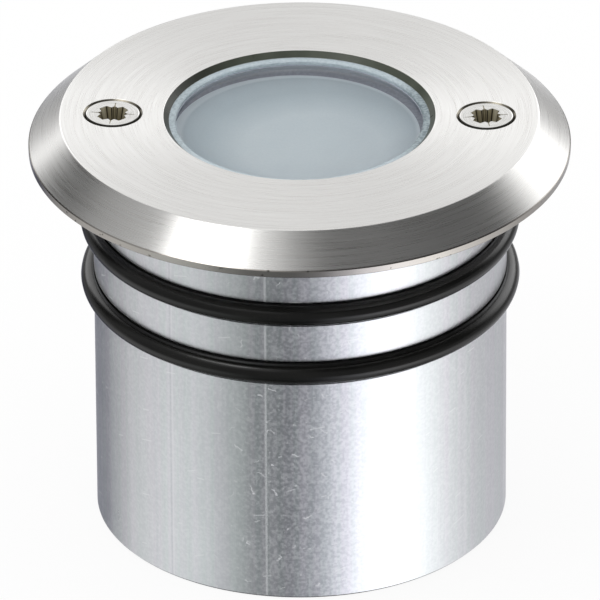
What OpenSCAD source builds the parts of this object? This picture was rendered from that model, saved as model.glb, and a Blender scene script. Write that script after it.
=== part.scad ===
// In-ground well light: a short thick-walled tube with a bevelled screw-down cover, a clamped
// glass, two grip rings that hold it in a round hole, and a sealed light engine and driver inside.
// Z points up, and the origin is the centre of the tube's flat lower end.

/* [Cover] */
// Outer diameter of the cover
cover_d = 75; // [68:0.5:84]
// Thickness of the cover's flange
cover_t = 5; // [4.4:0.1:5.6]
// Radial width of the bevel round the cover
bevel_w = 4.05; // [3:0.05:5]
// Drop of the bevel over that width
bevel_h = 3.9; // [3:0.1:4.1]
// Radius that breaks the edge between the bevel and the rim
rim_round = 0.35; // [0.15:0.05:0.6]
// How far the cover overhangs the tube all round
cover_overhang = 8.8; // [6:0.1:12]
// How far the lip's top edge reaches in over the glass
lip_reach = 2.2; // [1.6:0.1:4]
// Height and width of the 45 degree chamfer round the aperture
aperture_chamfer = 0.75; // [0.4:0.05:0.8]
// Thickness of the lip that holds the glass down
lip_t = 0.8; // [0.8:0.05:1.1]
// Depth of the seat under the flange that the tube's end stands in
cover_seat = 0.3; // [0.2:0.1:0.6]
// Wall of the short spigot that centres the cover in the tube
spigot_wall = 1.2; // [0.9:0.1:1.4]
// Gap between the spigot's end and the carrier's flange
spigot_gap = 0.4; // [0.3:0.1:0.8]

/* [Cover screws] */
// Distance of a cover screw's axis from the tube's outer face
screw_inset = 2.9; // [2.8:0.1:3.3]
// Thread diameter of a cover screw
screw_d = 4; // [3.5:0.1:4.2]
// Length of a cover screw, with its head
screw_l = 12; // [9:0.5:12.5]
// Diameter of a countersunk head
screw_head_d = 7.5; // [6.6:0.05:7.7]
// Height of the straight edge of a head
screw_head_land = 0.3; // [0.2:0.05:0.5]
// Diameter of the countersink at the cover's top face
countersink_d = 8.3; // [7.9:0.1:9]
// Span across the wings of the cross recess
recess_span = 4.6; // [3.6:0.1:5]
// Width of one wing of the cross recess
recess_wing = 1.3; // [0.8:0.05:1.5]
// Depth of the cross recess
recess_depth = 1.5; // [1:0.1:1.8]

/* [Glass] */
// Gap between the glass and the cover's pocket
glass_gap = 0.4; // [0.2:0.1:0.8]
// Thickness of the glass
glass_t = 3.8; // [3.4:0.1:5.4]
// How far the gaskets over and under the glass show inside the aperture
gasket_show = 0.95; // [0.3:0.05:1.5]
// Thickness of the gasket over the glass
upper_gasket_t = 0.7; // [0.5:0.1:1]
// Thickness of the gasket under the glass
lower_gasket_t = 1.4; // [0.8:0.1:1.8]
// Chamfer of the glass's edges
glass_chamfer = 0.4; // [0.2:0.1:0.6]

/* [Body tube] */
// Length of the tube
tube_l = 56; // [51:0.1:70]
// Wall of the tube
tube_wall = 6.7; // [6.4:0.1:8]
// Wall of the tube round the wider bore at its base
base_wall = 4.7; // [4:0.1:5.6]
// Chamfer of the tube's outer edge at its base
tube_edge = 0.3; // [0.2:0.1:0.8]

/* [Grip rings] */
// Cord diameter of the two rubber grip rings
grip_cord_d = 3; // [2.4:0.1:3.4]
// How far a grip ring stands out of the tube
grip_proud = 1.8; // [1:0.1:2.2]
// Width of a grip ring's groove
grip_groove_w = 3.6; // [3.5:0.1:4.4]
// Depth of the upper grip ring's centre below the cover's top face
upper_grip_drop = 15.5; // [15.2:0.1:18]
// Depth of the lower grip ring's centre below the cover's top face
lower_grip_drop = 24.7; // [22:0.1:34]

/* [Light engine] */
// How far the carrier's flange overhangs the tube's bore
carrier_lip = 0.6; // [0.4:0.1:0.8]
// Thickness of the carrier's flange
carrier_flange_t = 2.5; // [2:0.1:3]
// Thickness of the carrier's floor
carrier_floor_t = 4.4; // [4.2:0.1:5.8]
// Cord diameter of the seal round the carrier
carrier_seal_d = 1.6; // [1.2:0.1:1.8]
// Depth of that seal's centre below the carrier's flange
carrier_seal_drop = 3; // [2:0.1:5]
// Height of the reflector
reflector_h = 7; // [6:0.1:8]
// Gap between the reflector's neck and the heads of the board's screws
reflector_neck_gap = 0.3; // [0.2:0.1:1]
// Wall of the reflector
reflector_wall = 0.8; // [0.6:0.1:1]
// Gap round the light-emitting board in the carrier's cup
led_board_gap = 0.5; // [0.2:0.1:1]
// Thickness of the light-emitting board
led_board_t = 1.6; // [1:0.1:2]
// Thickness of the thermal pad under it
thermal_pad_t = 0.5; // [0.3:0.1:1]
// Number of emitters
emitter_count = 3; // [2:1:4]
// Pitch circle of the emitters
emitter_pcd = 8.4; // [7.4:0.2:8.8]
// Side of an emitter's square base
emitter_side = 3.4; // [2.6:0.1:3.6]
// Height of an emitter's square base
emitter_base_h = 0.7; // [0.5:0.1:1]
// Diameter of an emitter's dome
emitter_dome_d = 2.6; // [2:0.1:2.6]
// Distance of the board's screws from its edge
board_screw_inset = 3.1; // [2.6:0.1:4]

/* [Driver] */
// Gap round the driver board in the tube
driver_board_gap = 2; // [0.5:0.1:3]
// Thickness of the driver board
driver_board_t = 1.6; // [1:0.1:2]
// Height of the spacers over the driver board
spacer_h = 7; // [6:0.5:7.5]
// Outer diameter of a spacer
spacer_d = 5; // [4:0.2:5.4]
// Distance of the spacers' axes from the driver board's edge
spacer_inset = 3.5; // [3:0.1:5]
// Thread diameter of the small screws on both boards
small_screw_d = 2.5; // [2:0.1:2.6]
// Head diameter of the small screws
small_head_d = 4.5; // [3.8:0.1:4.8]
// Head height of the small screws
small_head_h = 1.6; // [1:0.1:1.8]
// How far the small screws reach into the carrier's floor
small_screw_grip = 3.4; // [2.5:0.1:3.6]
// Height of the terminal block
terminal_h = 6.4; // [5:0.1:6.8]
// Diameter of the capacitors
capacitor_d = 5; // [4:0.2:6]
// Height of the capacitors
capacitor_h = 6.2; // [5:0.1:6.8]
// Diameter of the inductor
inductor_d = 8; // [6:0.2:9]
// Height of the inductor
inductor_h = 5; // [4:0.1:6.5]
// Distance of the parts under the driver board from its edge
part_inset = 1.5; // [1:0.1:2]
// Room for the parts between the driver board and the base plug
part_room = 7.9; // [7:0.1:12]
// Outer diameter of the leads between the boards
lead_d = 1.1; // [0.9:0.1:1.2]

/* [Base] */
// Thickness of the base plug
plug_t = 6; // [5:0.1:7]
// Cord diameter of the plug's seal
plug_seal_d = 2; // [1.6:0.1:2.2]
// Thickness of the retaining ring under the plug
retainer_t = 1.2; // [1:0.1:1.5]
// Radial width of the retaining ring
retainer_w = 3.2; // [2.6:0.1:3.6]
// Depth of the retaining ring's groove in the tube
retainer_groove = 1.1; // [0.8:0.1:1.3]
// Diameter of the hole in the retaining ring's lugs
retainer_eye_d = 1.8; // [1.4:0.1:2]

/* [Cable gland] */
// Thread diameter of the gland in the plug
gland_thread_d = 12; // [11:0.5:13]
// Size across the flats of the gland's hexagons
gland_flats = 15; // [15:0.5:18]
// Height of the gland's hexagon
gland_hex_h = 3; // [2.5:0.1:4]
// Thickness of the sealing washer over the hexagon
gland_washer_t = 1; // [0.8:0.1:1.5]
// Length of the gland's neck below the hexagon
gland_neck_l = 6; // [5:0.1:7]
// Height of the gland's dome nut
gland_nut_h = 7.4; // [6.4:0.1:8.4]
// Bore of the gland's rubber seal, which grips the cable
cable_hole_d = 6.4; // [5:0.1:6.8]

/* [Hidden] */

// Circles are true rounds at this setting
$fn = 96;
// Gap between a seated piece and its seat, and of a piece that slides into a bore
seat_gap = 0.05;
slide_gap = 0.1;
// Overshoot of a cut past the face that it opens
cut = 1;

// Heights, built up from the tube's lower end and down from the cover's top face
flange_z = tube_l - cover_seat;
top_z = flange_z + cover_t;
glass_top_z = top_z - lip_t - upper_gasket_t;
glass_bottom_z = glass_top_z - glass_t;
carrier_top_z = glass_bottom_z - lower_gasket_t;
shoulder_z = carrier_top_z - carrier_flange_t;
led_board_z = carrier_top_z - reflector_h - led_board_t;
floor_top_z = led_board_z - thermal_pad_t;
carrier_bottom_z = floor_top_z - carrier_floor_t;
driver_top_z = carrier_bottom_z - spacer_h;
driver_bottom_z = driver_top_z - driver_board_t;
plug_top_z = driver_bottom_z - part_room;
plug_bottom_z = plug_top_z - plug_t;
hex_top_z = plug_bottom_z - gland_washer_t;
hex_bottom_z = hex_top_z - gland_hex_h;
neck_bottom_z = hex_bottom_z - gland_neck_l;
upper_grip_z = top_z - upper_grip_drop;
lower_grip_z = top_z - lower_grip_drop;

// Diameters and radii, worked out from the outside in
tube_d = cover_d - 2 * cover_overhang;
screw_pcd = tube_d - 2 * screw_inset;
bore_r = tube_d / 2 - tube_wall;
base_bore_r = tube_d / 2 - base_wall;
spigot_r = bore_r + carrier_lip;
collar_bore_r = spigot_r + slide_gap;
glass_pocket_r = spigot_r - spigot_wall;
glass_d = 2 * (glass_pocket_r - glass_gap);
aperture_d = glass_d - 2 * lip_reach;
gasket_bore_d = aperture_d - 2 * aperture_chamfer - 2 * gasket_show;
carrier_cup_d = gasket_bore_d;
led_board_d = carrier_cup_d - 2 * led_board_gap;
board_screw_pcd = led_board_d - 2 * board_screw_inset;
driver_board_d = 2 * (bore_r - driver_board_gap);
spacer_pcd = driver_board_d - 2 * spacer_inset;
grip_centre_r = tube_d / 2 + grip_proud - grip_cord_d / 2;
grip_groove_r = grip_centre_r - grip_cord_d / 2 - seat_gap;
carrier_r = bore_r - seat_gap;
carrier_seal_r = bore_r - seat_gap - carrier_seal_d / 2;
plug_r = base_bore_r - slide_gap;
plug_seal_r = base_bore_r - seat_gap - plug_seal_d / 2;
retainer_r = base_bore_r + retainer_groove - slide_gap;
gland_neck_step = 0.6;
gland_neck_wall = 1;
gland_neck_r = gland_thread_d / 2 - gland_neck_step;
gland_seal_r = gland_neck_r - gland_neck_wall;

// Holes of the screws
screw_hole_gap = 0.25;
screw_hole_d = screw_d + 2 * screw_hole_gap;
tapped_d = screw_d + 2 * seat_gap;
tapped_end_gap = 0.8;
small_hole_d = small_screw_d + 2 * seat_gap;

// The head rests on the countersink's cone, a seat gap above it
screw_top_z = top_z - (countersink_d - screw_head_d) / 2 + screw_head_land + sqrt(2) * seat_gap;
screw_tip_z = screw_top_z - screw_l;

// Angles round the axis, of the fixings and of the parts under the driver board
spacer_angles = [0, 120, 240];
board_screw_angles = [90, 210, 330];
capacitor_angles = [48, 72];
inductor_angle = 180;
terminal_angle = 300;

// Parts of the driver: places and sizes of the bridge, the controller and the parts on top
bridge_at = [-4, 0];
bridge_size = [6, 4.6, 2.4];
controller_at = [-3, -6];
controller_size = [5, 4, 1.5];
sense_part_at = [[2, -2], [2, 3]];
sense_part_size = [3.2, 1.6, 0.6];
inductor_step = 1;

// The two leads between the boards rise side by side through one hole, and bend apart over its edge
lead_gap = 1.5;
lead_bend = 1.6;
lead_end_l = 1.4;
lead_hole_inset = 4.1;
lead_hole_y = lead_hole_inset - led_board_d / 2;
lead_hole_d = lead_gap + 2 * lead_bend + slide_gap;
lead_sides = 8;

// Two-way terminal block under the driver board
terminal_way_w = 5;
terminal_depth = 7.6;
terminal_well_inset = 2.6;
terminal_well_d = 3.4;
terminal_well_h = 2.4;
terminal_screw_h = 1.6;

// A ring with a rectangular section, between two radii and two heights
module flat_ring(outer_r, inner_r, z, height) {
    translate([0, 0, z])
        difference() {
            cylinder(r = outer_r, h = height);
            translate([0, 0, -cut]) cylinder(r = inner_r, h = height + 2 * cut);
        }
}

// A ring of round cord
module cord_ring(centre_r, cord_d, z) {
    translate([0, 0, z])
        rotate_extrude()
            translate([centre_r, 0])
                circle(d = cord_d, $fn = 48);
}

// Copies of a piece at given angles on a pitch circle
module on_pitch_circle(pcd, angles) {
    for (angle = angles)
        rotate([0, 0, angle])
            translate([pcd / 2, 0, 0])
                children();
}

// A hexagonal prism, sized across its flats
module hexagon(flats, height) {
    cylinder(d = flats / cos(30), h = height, $fn = 6);
}

// Outer wall, wide base bore, narrow bore, collar bore and the grooves that they carry
module body_tube() {
    color("gainsboro")
    difference() {
        union() {
            cylinder(d1 = tube_d - 2 * tube_edge, d2 = tube_d, h = tube_edge);
            translate([0, 0, tube_edge]) cylinder(d = tube_d, h = tube_l - tube_edge);
        }
        translate([0, 0, -cut]) cylinder(r = bore_r, h = tube_l + 2 * cut);
        translate([0, 0, -cut]) cylinder(r = base_bore_r, h = plug_top_z + cut);
        translate([0, 0, shoulder_z]) cylinder(r = collar_bore_r, h = tube_l - shoulder_z + cut);
        for (z = [upper_grip_z, lower_grip_z])
            flat_ring(tube_d / 2 + cut, grip_groove_r, z - grip_groove_w / 2, grip_groove_w);
        translate([0, 0, plug_bottom_z - retainer_t - 2 * seat_gap])
            cylinder(r = base_bore_r + retainer_groove, h = retainer_t + 2 * seat_gap);
        on_pitch_circle(screw_pcd, [0, 180])
            translate([0, 0, screw_tip_z - tapped_end_gap])
                cylinder(d = tapped_d, h = tube_l - screw_tip_z + tapped_end_gap + cut, $fn = 48);
    }
}

// Outline of the cover in the radius and height plane
function cover_outline() =
    let (outer_r = cover_d / 2, edge_r = outer_r - rim_round, edge_z = top_z - bevel_h - rim_round)
    concat(
        [
            [aperture_d / 2 - aperture_chamfer, top_z - lip_t],
            [aperture_d / 2 - aperture_chamfer, top_z - aperture_chamfer],
            [aperture_d / 2, top_z],
            [edge_r - bevel_w, top_z]
        ],
        [for (angle = [90:-30:0]) [edge_r + rim_round * cos(angle), edge_z + rim_round * sin(angle)]],
        [
            [outer_r, flange_z],
            [tube_d / 2 + slide_gap, flange_z],
            [tube_d / 2 + slide_gap, tube_l],
            [spigot_r, tube_l],
            [spigot_r, carrier_top_z + spigot_gap],
            [glass_pocket_r, carrier_top_z + spigot_gap],
            [glass_pocket_r, top_z - lip_t]
        ]
    );

module cover_ring() {
    color("lightgray")
    difference() {
        rotate_extrude() polygon(cover_outline());
        on_pitch_circle(screw_pcd, [0, 180]) {
            translate([0, 0, tube_l - cut]) cylinder(d = screw_hole_d, h = cover_t + 2 * cut, $fn = 48);
            translate([0, 0, top_z - countersink_d / 2])
                cylinder(d1 = 0, d2 = countersink_d, h = countersink_d / 2, $fn = 48);
        }
    }
}

// A countersunk screw with a cross recess whose wings lie on the diagonals
module cover_screw() {
    land_z = screw_top_z - screw_head_land;
    cone_h = (screw_head_d - screw_d) / 2;
    difference() {
        union() {
            translate([0, 0, land_z]) cylinder(d = screw_head_d, h = screw_head_land, $fn = 48);
            translate([0, 0, land_z - cone_h])
                cylinder(d1 = screw_d, d2 = screw_head_d, h = cone_h, $fn = 48);
            translate([0, 0, screw_tip_z]) cylinder(d = screw_d, h = land_z - cone_h - screw_tip_z, $fn = 48);
        }
        for (angle = [45, 135])
            rotate([0, 0, angle])
                translate([-recess_span / 2, -recess_wing / 2, screw_top_z - recess_depth])
                    cube([recess_span, recess_wing, recess_depth + cut]);
    }
}

module left_cover_screw() {
    color("silver") translate([-screw_pcd / 2, 0, 0]) cover_screw();
}

module right_cover_screw() {
    color("silver") translate([screw_pcd / 2, 0, 0]) cover_screw();
}

module upper_glass_gasket() {
    color("lightsteelblue") flat_ring(glass_d / 2, gasket_bore_d / 2, glass_top_z, upper_gasket_t);
}

module lens_glass() {
    color("powderblue", 0.6)
    translate([0, 0, glass_bottom_z]) {
        cylinder(d1 = glass_d - 2 * glass_chamfer, d2 = glass_d, h = glass_chamfer);
        translate([0, 0, glass_chamfer]) cylinder(d = glass_d, h = glass_t - 2 * glass_chamfer);
        translate([0, 0, glass_t - glass_chamfer])
            cylinder(d1 = glass_d, d2 = glass_d - 2 * glass_chamfer, h = glass_chamfer);
    }
}

module lower_glass_gasket() {
    color("slategray") flat_ring(glass_d / 2, gasket_bore_d / 2, carrier_top_z, lower_gasket_t);
}

// A cup that hangs in the tube by its flange, and carries both boards on its floor
module led_carrier() {
    seal_z = shoulder_z - carrier_seal_drop;
    groove_w = carrier_seal_d + 2 * slide_gap;
    color("silver")
    difference() {
        union() {
            translate([0, 0, shoulder_z]) cylinder(r = spigot_r, h = carrier_flange_t);
            translate([0, 0, carrier_bottom_z]) cylinder(r = carrier_r, h = shoulder_z - carrier_bottom_z);
        }
        translate([0, 0, floor_top_z]) cylinder(d = carrier_cup_d, h = carrier_top_z - floor_top_z + cut);
        flat_ring(bore_r + cut, carrier_seal_r - carrier_seal_d / 2 - seat_gap, seal_z - groove_w / 2, groove_w);
        translate([0, lead_hole_y, carrier_bottom_z - cut])
            cylinder(d = lead_hole_d, h = carrier_floor_t + 2 * cut, $fn = 48);
        on_pitch_circle(board_screw_pcd, board_screw_angles)
            translate([0, 0, floor_top_z - small_screw_grip - seat_gap])
                cylinder(d = small_hole_d, h = small_screw_grip + cut, $fn = 32);
        on_pitch_circle(spacer_pcd, spacer_angles)
            translate([0, 0, carrier_bottom_z - cut])
                cylinder(d = small_hole_d, h = small_screw_grip + seat_gap + cut, $fn = 32);
    }
}

module carrier_seal() {
    color("black") cord_ring(carrier_seal_r, carrier_seal_d, shoulder_z - carrier_seal_drop);
}

// A straight neck that stands on the board inside the screws, and an open cone up to the carrier's rim
module reflector() {
    neck_r = (board_screw_pcd - small_head_d) / 2 - reflector_neck_gap;
    big_r = carrier_cup_d / 2 - slide_gap;
    base_z = led_board_z + led_board_t;
    neck_z = base_z + small_head_h + reflector_neck_gap;
    color("white")
    rotate_extrude()
        polygon([
            [neck_r - reflector_wall, base_z],
            [neck_r, base_z],
            [neck_r, neck_z],
            [big_r, carrier_top_z - reflector_wall],
            [big_r, carrier_top_z],
            [big_r - reflector_wall, carrier_top_z],
            [neck_r - reflector_wall, neck_z + reflector_wall]
        ]);
}

// A round board with clearance for its screws and the leads
module led_board() {
    color("whitesmoke")
    translate([0, 0, led_board_z])
        difference() {
            cylinder(d = led_board_d, h = led_board_t);
            translate([0, lead_hole_y, -cut]) cylinder(d = lead_hole_d, h = led_board_t + 2 * cut, $fn = 48);
            on_pitch_circle(board_screw_pcd, board_screw_angles)
                translate([0, 0, -cut]) cylinder(d = small_hole_d, h = led_board_t + 2 * cut, $fn = 32);
        }
}

module led_emitters() {
    base_z = led_board_z + led_board_t;
    color("gold")
    for (step = [0:emitter_count - 1])
        rotate([0, 0, 90 + step * 360 / emitter_count])
            translate([emitter_pcd / 2, 0, base_z]) {
                translate([-emitter_side / 2, -emitter_side / 2, 0])
                    cube([emitter_side, emitter_side, emitter_base_h]);
                translate([0, 0, emitter_base_h])
                    intersection() {
                        sphere(d = emitter_dome_d, $fn = 32);
                        cylinder(d = emitter_dome_d + cut, h = emitter_dome_d);
                    }
            }
}

module thermal_pad() {
    color("lightpink")
    translate([0, 0, floor_top_z])
        difference() {
            cylinder(d = led_board_d, h = thermal_pad_t);
            translate([0, lead_hole_y, -cut]) cylinder(d = lead_hole_d, h = thermal_pad_t + 2 * cut, $fn = 48);
            on_pitch_circle(board_screw_pcd, board_screw_angles)
                translate([0, 0, -cut]) cylinder(d = small_hole_d, h = thermal_pad_t + 2 * cut, $fn = 32);
        }
}

// A pan-head screw standing on z = 0, with its shank below
module small_screw(shank_l) {
    difference() {
        union() {
            cylinder(d = small_head_d, h = small_head_h, $fn = 32);
            translate([0, 0, -shank_l]) cylinder(d = small_screw_d, h = shank_l, $fn = 32);
        }
        for (angle = [0, 90])
            rotate([0, 0, angle])
                translate([-small_head_d / 4, -small_head_d / 16, small_head_h / 2])
                    cube([small_head_d / 2, small_head_d / 8, small_head_h]);
    }
}

module led_board_screws() {
    color("silver")
    on_pitch_circle(board_screw_pcd, board_screw_angles)
        translate([0, 0, led_board_z + led_board_t])
            small_screw(led_board_t + thermal_pad_t + small_screw_grip);
}

// A round board with holes for its screws and for the two leads
module driver_board() {
    color("seagreen")
    translate([0, 0, driver_bottom_z])
        difference() {
            cylinder(d = driver_board_d, h = driver_board_t);
            on_pitch_circle(spacer_pcd, spacer_angles)
                translate([0, 0, -cut]) cylinder(d = small_hole_d, h = driver_board_t + 2 * cut, $fn = 32);
        }
}

module driver_spacers() {
    color("goldenrod")
    on_pitch_circle(spacer_pcd, spacer_angles)
        translate([0, 0, driver_top_z])
            difference() {
                cylinder(d = spacer_d, h = spacer_h, $fn = 6);
                translate([0, 0, -cut]) cylinder(d = small_hole_d, h = spacer_h + 2 * cut, $fn = 32);
            }
}

module driver_screws() {
    color("silver")
    on_pitch_circle(spacer_pcd, spacer_angles)
        translate([0, 0, driver_bottom_z])
            rotate([180, 0, 0])
                small_screw(driver_board_t + spacer_h + small_screw_grip);
}

// A drum core with its winding between two flanges
module driver_inductor() {
    color("dimgray")
    rotate([0, 0, inductor_angle])
        translate([(driver_board_d - inductor_d) / 2 - part_inset, 0, driver_bottom_z - inductor_h])
            difference() {
                cylinder(d = inductor_d, h = inductor_h, $fn = 48);
                flat_ring(
                    inductor_d / 2 + cut, (inductor_d - inductor_step) / 2,
                    inductor_step, inductor_h - 2 * inductor_step
                );
            }
}

module driver_capacitors() {
    color("midnightblue")
    on_pitch_circle(driver_board_d - capacitor_d - 2 * part_inset, capacitor_angles)
        translate([0, 0, driver_bottom_z - capacitor_h])
            cylinder(d = capacitor_d, h = capacitor_h, $fn = 48);
}

// A bridge and a controller under the board, and two parts on top of it
module driver_chips() {
    color("darkslategray") {
        translate([bridge_at[0], bridge_at[1], driver_bottom_z - bridge_size[2]]) cube(bridge_size);
        translate([controller_at[0], controller_at[1], driver_bottom_z - controller_size[2]])
            cube(controller_size);
        for (place = sense_part_at)
            translate([place[0], place[1], driver_top_z]) cube(sense_part_size);
    }
}

// Places a terminal piece: x outwards from the block's inner face, z down from the driver board
module at_terminal() {
    rotate([0, 0, terminal_angle])
        translate([driver_board_d / 2 - part_inset - terminal_depth, 0, driver_bottom_z])
            mirror([0, 0, 1])
                children();
}

// Each way of the block has a wire mouth in its side and a screw well in its lower face
module terminal_block() {
    mouth = 2.6;
    mouth_depth = 3;
    roof = 1;
    color("mediumseagreen")
    at_terminal()
        difference() {
            translate([0, -terminal_way_w, 0]) cube([terminal_depth, 2 * terminal_way_w, terminal_h]);
            for (y = [-terminal_way_w / 2, terminal_way_w / 2]) {
                translate([terminal_depth - mouth_depth, y - mouth / 2, roof])
                    cube([mouth_depth + cut, mouth, mouth]);
                translate([terminal_well_inset, y, terminal_h - terminal_well_h])
                    cylinder(d = terminal_well_d, h = terminal_well_h + cut, $fn = 32);
            }
        }
}

// Slotted clamping screws that fill the upper part of the wells
module terminal_screws() {
    screw_r = terminal_well_d / 2 - slide_gap;
    slot_w = 0.6;
    color("silver")
    at_terminal()
        for (y = [-terminal_way_w / 2, terminal_way_w / 2])
            translate([terminal_well_inset, y, terminal_h - terminal_well_h])
                difference() {
                    cylinder(r = screw_r, h = terminal_screw_h, $fn = 32);
                    translate([-screw_r - cut, -slot_w / 2, terminal_screw_h - slot_w])
                        cube([2 * screw_r + 2 * cut, slot_w, slot_w + cut]);
                }
}

// Route of the right lead: up from the driver board, through the hole, and down flat on its pad
lead_pad_z = led_board_z + led_board_t + lead_d / 2 + seat_gap;
function lead_route() =
    let (rise_x = lead_gap / 2, bend_z = lead_pad_z - lead_bend)
    concat(
        [[rise_x, driver_top_z + seat_gap], [rise_x, driver_top_z + spacer_h]],
        [for (angle = [0:15:90]) [rise_x + lead_bend * (1 - cos(angle)), bend_z + lead_bend * sin(angle)]],
        [[rise_x + lead_bend + lead_end_l, lead_pad_z]]
    );

// A tube of even width along a route in the upright plane
module lead_tube(route) {
    count = len(route);
    function heading(i) =
        let (step = route[min(i + 1, count - 1)] - route[max(i - 1, 0)])
        step / norm(step);
    rings = [
        for (i = [0:count - 1])
            let (side = [heading(i)[1], -heading(i)[0]])
            for (k = [0:lead_sides - 1])
                let (angle = k * 360 / lead_sides, across = lead_d / 2 * cos(angle))
                [route[i][0] + side[0] * across, lead_d / 2 * sin(angle), route[i][1] + side[1] * across]
    ];
    walls = [
        for (i = [0:count - 2], k = [0:lead_sides - 1])
            let (a = i * lead_sides + k, b = i * lead_sides + (k + 1) % lead_sides)
            [a, b, b + lead_sides, a + lead_sides]
    ];
    ends = [
        [for (k = [lead_sides - 1:-1:0]) k],
        [for (k = [0:lead_sides - 1]) (count - 1) * lead_sides + k]
    ];
    polyhedron(points = rings, faces = concat(walls, ends), convexity = 4);
}

module led_leads() {
    color("firebrick")
    translate([0, lead_hole_y, 0]) {
        lead_tube(lead_route());
        mirror([1, 0, 0]) lead_tube(lead_route());
    }
}

module upper_grip_ring() {
    color("black") cord_ring(grip_centre_r, grip_cord_d, upper_grip_z);
}

module lower_grip_ring() {
    color("black") cord_ring(grip_centre_r, grip_cord_d, lower_grip_z);
}

// A disc with a seal groove in its rim and a tapped hole for the gland
module base_plug() {
    groove_w = plug_seal_d + 2 * slide_gap;
    color("darkgray")
    difference() {
        translate([0, 0, plug_bottom_z]) cylinder(r = plug_r, h = plug_t);
        translate([0, 0, plug_bottom_z - cut])
            cylinder(d = gland_thread_d + 2 * seat_gap, h = plug_t + 2 * cut, $fn = 48);
        flat_ring(
            base_bore_r + cut, plug_seal_r - plug_seal_d / 2 - seat_gap,
            plug_bottom_z + plug_t / 2 - groove_w / 2, groove_w
        );
    }
}

module plug_seal() {
    color("black") cord_ring(plug_seal_r, plug_seal_d, plug_bottom_z + plug_t / 2);
}

// An open spring ring with two eyed lugs, which snaps into the tube's groove under the plug
module retaining_ring() {
    inner_r = retainer_r - retainer_w;
    lug_wall = 1.2;
    lug_r = retainer_eye_d / 2 + lug_wall;
    lug_centre_r = inner_r - lug_r / 2;
    opening_w = 4;
    eye_wall = 0.4;
    lug_angle = asin((opening_w / 2 + eye_wall + retainer_eye_d / 2) / lug_centre_r);
    color("dimgray")
    translate([0, 0, plug_bottom_z - retainer_t - seat_gap])
        linear_extrude(retainer_t)
            difference() {
                circle(r = retainer_r);
                difference() {
                    circle(r = inner_r);
                    for (angle = [-lug_angle, lug_angle])
                        rotate([0, 0, angle]) translate([lug_centre_r, 0]) circle(r = lug_r, $fn = 32);
                }
                translate([inner_r / 2, -opening_w / 2]) square([retainer_r, opening_w]);
                for (angle = [-lug_angle, lug_angle])
                    rotate([0, 0, angle])
                        translate([lug_centre_r, 0]) circle(d = retainer_eye_d, $fn = 32);
            }
}

module gland_washer() {
    color("black")
    flat_ring(gland_flats / 2 - 3 * slide_gap, gland_thread_d / 2 + slide_gap, hex_top_z, gland_washer_t);
}

// Threaded stem in the plug, a hexagon to turn it by, and a neck for the nut
module gland_body() {
    color("darkslategray")
    difference() {
        union() {
            translate([0, 0, hex_top_z])
                cylinder(d = gland_thread_d, h = gland_washer_t + plug_t, $fn = 48);
            translate([0, 0, hex_bottom_z]) hexagon(gland_flats, gland_hex_h);
            translate([0, 0, neck_bottom_z]) cylinder(r = gland_neck_r, h = gland_neck_l, $fn = 48);
        }
        translate([0, 0, neck_bottom_z - cut])
            cylinder(d = cable_hole_d + 4 * slide_gap, h = plug_top_z - neck_bottom_z + 2 * cut, $fn = 48);
        translate([0, 0, neck_bottom_z - cut])
            cylinder(r = gland_seal_r + seat_gap, h = gland_neck_l + cut, $fn = 48);
    }
}

// The rubber sleeve that closes on the cable
module gland_seal() {
    color("black") flat_ring(gland_seal_r, cable_hole_d / 2, neck_bottom_z, gland_neck_l - slide_gap);
}

// A hexagonal nut with a domed end that presses on the seal
module gland_nut() {
    mouth_r = cable_hole_d / 2 + 3 * slide_gap;
    nut_top_z = hex_bottom_z - 2 * slide_gap;
    nut_bottom_z = nut_top_z - gland_nut_h;
    dome_h = 3;
    dome_r = gland_flats / 2 - 1.6;
    corner_r = gland_flats / 2 / cos(30);
    color("darkslategray")
    difference() {
        intersection() {
            translate([0, 0, nut_bottom_z]) hexagon(gland_flats, gland_nut_h);
            union() {
                translate([0, 0, nut_bottom_z]) cylinder(r1 = dome_r, r2 = corner_r + cut, h = dome_h);
                translate([0, 0, nut_bottom_z + dome_h]) cylinder(r = corner_r + cut, h = gland_nut_h - dome_h);
            }
        }
        translate([0, 0, neck_bottom_z - seat_gap])
            cylinder(r = gland_neck_r + slide_gap, h = nut_top_z - neck_bottom_z + seat_gap + cut, $fn = 48);
        translate([0, 0, nut_bottom_z - cut]) cylinder(r = mouth_r, h = gland_nut_h, $fn = 48);
    }
}

body_tube();
cover_ring();
left_cover_screw();
right_cover_screw();
upper_glass_gasket();
lens_glass();
lower_glass_gasket();
led_carrier();
carrier_seal();
reflector();
led_board();
led_emitters();
thermal_pad();
led_board_screws();
driver_board();
driver_spacers();
driver_screws();
driver_inductor();
driver_capacitors();
driver_chips();
terminal_block();
terminal_screws();
led_leads();
upper_grip_ring();
lower_grip_ring();
base_plug();
plug_seal();
retaining_ring();
gland_washer();
gland_body();
gland_seal();
gland_nut();
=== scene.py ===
import math

import bmesh
import bpy
from mathutils import Matrix, Vector


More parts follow.
